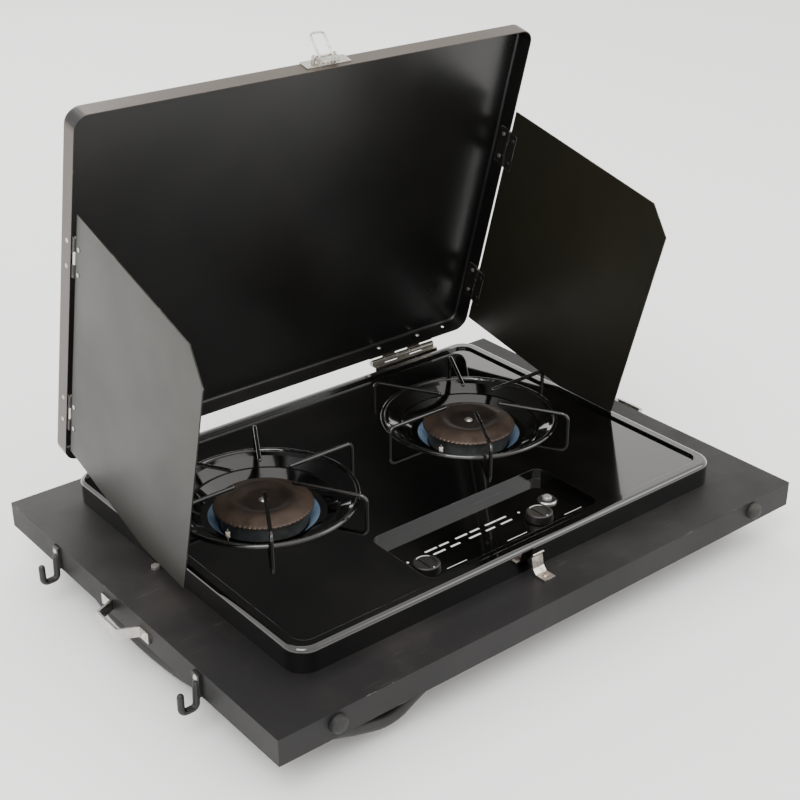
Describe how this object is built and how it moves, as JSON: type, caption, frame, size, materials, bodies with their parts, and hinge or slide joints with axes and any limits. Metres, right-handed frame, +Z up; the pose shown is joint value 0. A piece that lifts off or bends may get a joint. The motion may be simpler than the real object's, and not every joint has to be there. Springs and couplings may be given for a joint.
{
  "type": "camping stove",
  "caption": "Gas camping stove on a black flanged tray: enamelled cooktop with burners, wire pan supports, knobs, an open lid with folding wind screens, hooks and a gas hose.",
  "frame": {"origin": "centre of the underside of the burner box, on which the stove stands", "axes": "+X to the cook's right, +Y towards the lid hinges, +Z up"},
  "size_m": [0.7046, 0.4934, 0.5282],
  "materials": {
    "tray_paint": "satin",
    "box_paint": "satin",
    "enamel": "gloss",
    "zinc": "satin",
    "nickel": "satin",
    "burner_alloy": "satin",
    "cap_iron": "satin",
    "bowl_steel": "satin",
    "ceramic": "gloss",
    "brass": "satin",
    "knob_plastic": "satin",
    "button_grey": "gloss",
    "wire_enamel": "gloss",
    "cast_black": "satin",
    "rubber": "matte",
    "hose_rubber": "matte",
    "lid_paint": "satin",
    "screen_paint": "satin"
  },
  "bodies": {
    "base": {"box_bolts": "zinc", "box_nuts": "zinc", "burner_base_left": "burner_alloy", "burner_base_right": "burner_alloy", "burner_bowl_left": "bowl_steel", "burner_bowl_right": "bowl_steel", "burner_box": "box_paint", "burner_cap_left": "cap_iron", "burner_cap_right": "cap_iron", "cap_screws": "zinc", "cooktop": "enamel", "electrode_ceramics": "ceramic", "electrode_pins": "zinc", "flange_screws": "zinc", "gas_hose": "hose_rubber", "gas_jets": "brass", "gas_valves": "brass", "hanging_hooks": "cast_black", "hinge_leaves_lower": "nickel", "hinge_pins": "zinc", "hinge_screws": "zinc", "hose_clips": "zinc", "hose_plug": "brass", "igniter_body": "knob_plastic", "igniter_nut": "nickel", "inlet_fitting": "brass", "keeper": "nickel", "keeper_rivet": "zinc", "manifold": "bowl_steel", "manifold_plug": "brass", "pan_support_left": "wire_enamel", "pan_support_right": "wire_enamel", "push_nuts": "zinc", "rubber_bumpers": "rubber", "supply_tube": "bowl_steel", "tie_loops": "nickel", "tray": "tray_paint", "venturi_tube_left": "bowl_steel", "venturi_tube_right": "bowl_steel"},
    "lid": {"lid_shell": "lid_paint", "hinge_leaves_upper": "nickel", "lid_rivets": "zinc", "latch_base": "nickel", "latch_pin": "zinc", "screen_leaves_lid": "nickel", "screen_pins": "zinc"},
    "lever": {"latch_lever": "nickel"},
    "bail": {"latch_bail": "nickel"},
    "screen_left": {"wind_screen_left": "screen_paint", "screen_leaves_left": "nickel", "screen_studs_left": "zinc"},
    "screen_right": {"wind_screen_right": "screen_paint", "screen_leaves_right": "nickel", "screen_studs_right": "zinc"},
    "knob_left": {"knob_left": "knob_plastic", "valve_stem_left": "zinc"},
    "knob_right": {"knob_right": "knob_plastic", "valve_stem_right": "zinc"},
    "button": {"igniter_button": "button_grey"}
  },
  "joints": [
    {"name": "lid_tilt", "type": "hinge", "parent": "base", "child": "lid", "pos_m": [0, 0.2233, 0.1017], "axis": [-1, 0, 0], "range_deg": [0, 35]},
    {"name": "screen_left_swing", "type": "hinge", "parent": "lid", "child": "screen_left", "pos_m": [-0.27245, 0.17475, 0.26485], "axis": [0, 0.2571, -0.9664], "range_deg": [-6, 75]},
    {"name": "screen_right_swing", "type": "hinge", "parent": "lid", "child": "screen_right", "pos_m": [0.27245, 0.17475, 0.26485], "axis": [0, -0.2571, 0.9664], "range_deg": [-2, 75]},
    {"name": "knob_left_turn", "type": "hinge", "parent": "base", "child": "knob_left", "pos_m": [-0.0888, -0.141, 0.09], "axis": [0, 0, 1], "range_deg": [0, 200]},
    {"name": "knob_right_turn", "type": "hinge", "parent": "base", "child": "knob_right", "pos_m": [0.0589, -0.141, 0.09], "axis": [0, 0, 1], "range_deg": [0, 200]},
    {"name": "igniter_press", "type": "slide", "parent": "base", "child": "button", "axis": [0, 0, -1], "range_m": [0, 0.003], "stiffness_N_per_m": 600},
    {"name": "latch_lever_lift", "type": "hinge", "parent": "lid", "child": "lever", "pos_m": [0.004, 0.12933, 0.50671], "axis": [-1, 0, 0], "range_deg": [0, 30]},
    {"name": "latch_bail_swing", "type": "hinge", "parent": "lever", "child": "bail", "pos_m": [0.004, 0.12488, 0.50552], "axis": [1, 0, 0], "range_deg": [0, 55]}
  ]
}
